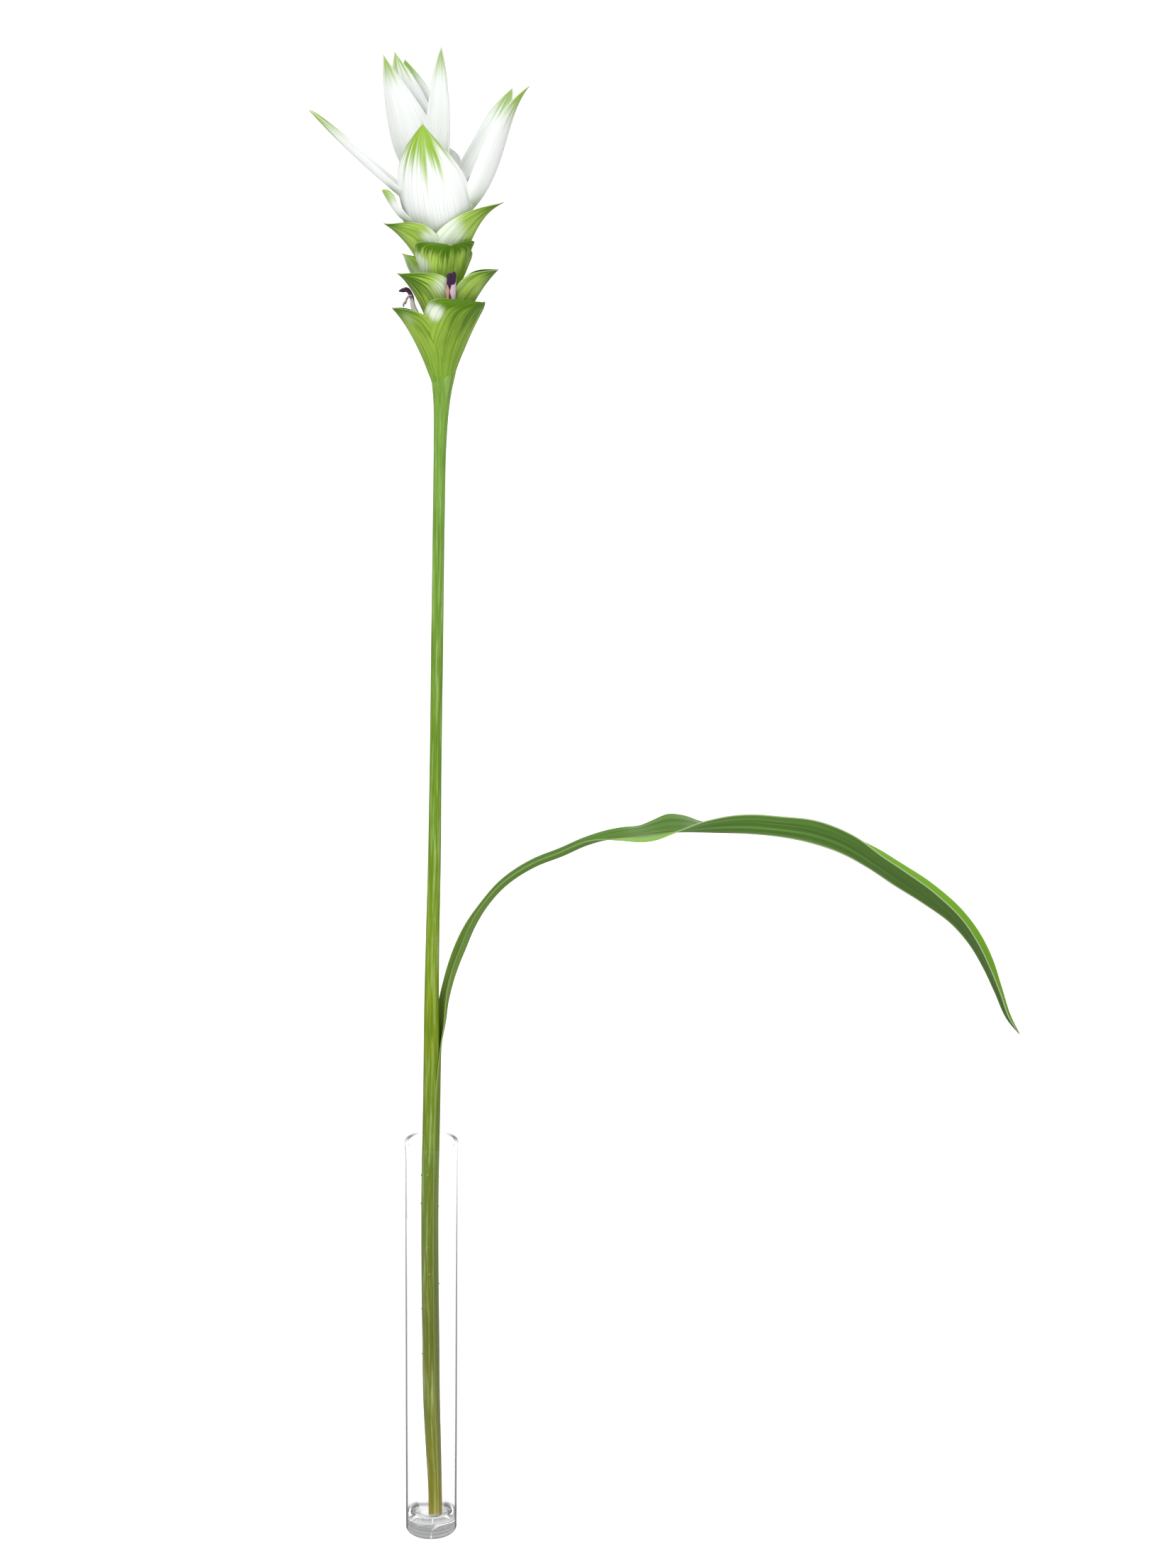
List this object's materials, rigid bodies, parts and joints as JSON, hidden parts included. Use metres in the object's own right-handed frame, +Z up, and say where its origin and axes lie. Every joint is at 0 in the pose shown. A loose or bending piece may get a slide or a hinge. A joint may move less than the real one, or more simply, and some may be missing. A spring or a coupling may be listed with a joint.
{
  "type": "curcuma flower in vase",
  "caption": "Cut curcuma flower with cupped green bracts, a white bract crown and an arching leaf, standing in a slim clear glass cylinder vase.",
  "frame": {"origin": "centre of the vase's foot, on the surface that it stands on", "axes": "+Z up along the vase, +X towards the side that the leaf reaches out to, -Y towards the viewer of the picture"},
  "size_m": [0.3342, 0.0662, 0.7106],
  "materials": {
    "glass": "clear, polished",
    "stalk": "fresh green stalk, satin",
    "leaf": "fresh leaf, satin, fine parallel veins",
    "green_bract": "fresh bract, satin, fine veins",
    "white_bract": "white bract with green tip, satin",
    "petal": "violet petal, satin"
  },
  "bodies": {
    "root": {"vase": "glass", "stalk": "stalk", "leaf": "leaf", "green_bracts": "green_bract", "white_bracts": "white_bract", "violet_flower_front": "petal", "violet_flower_side": "petal"}
  },
  "joints": []
}
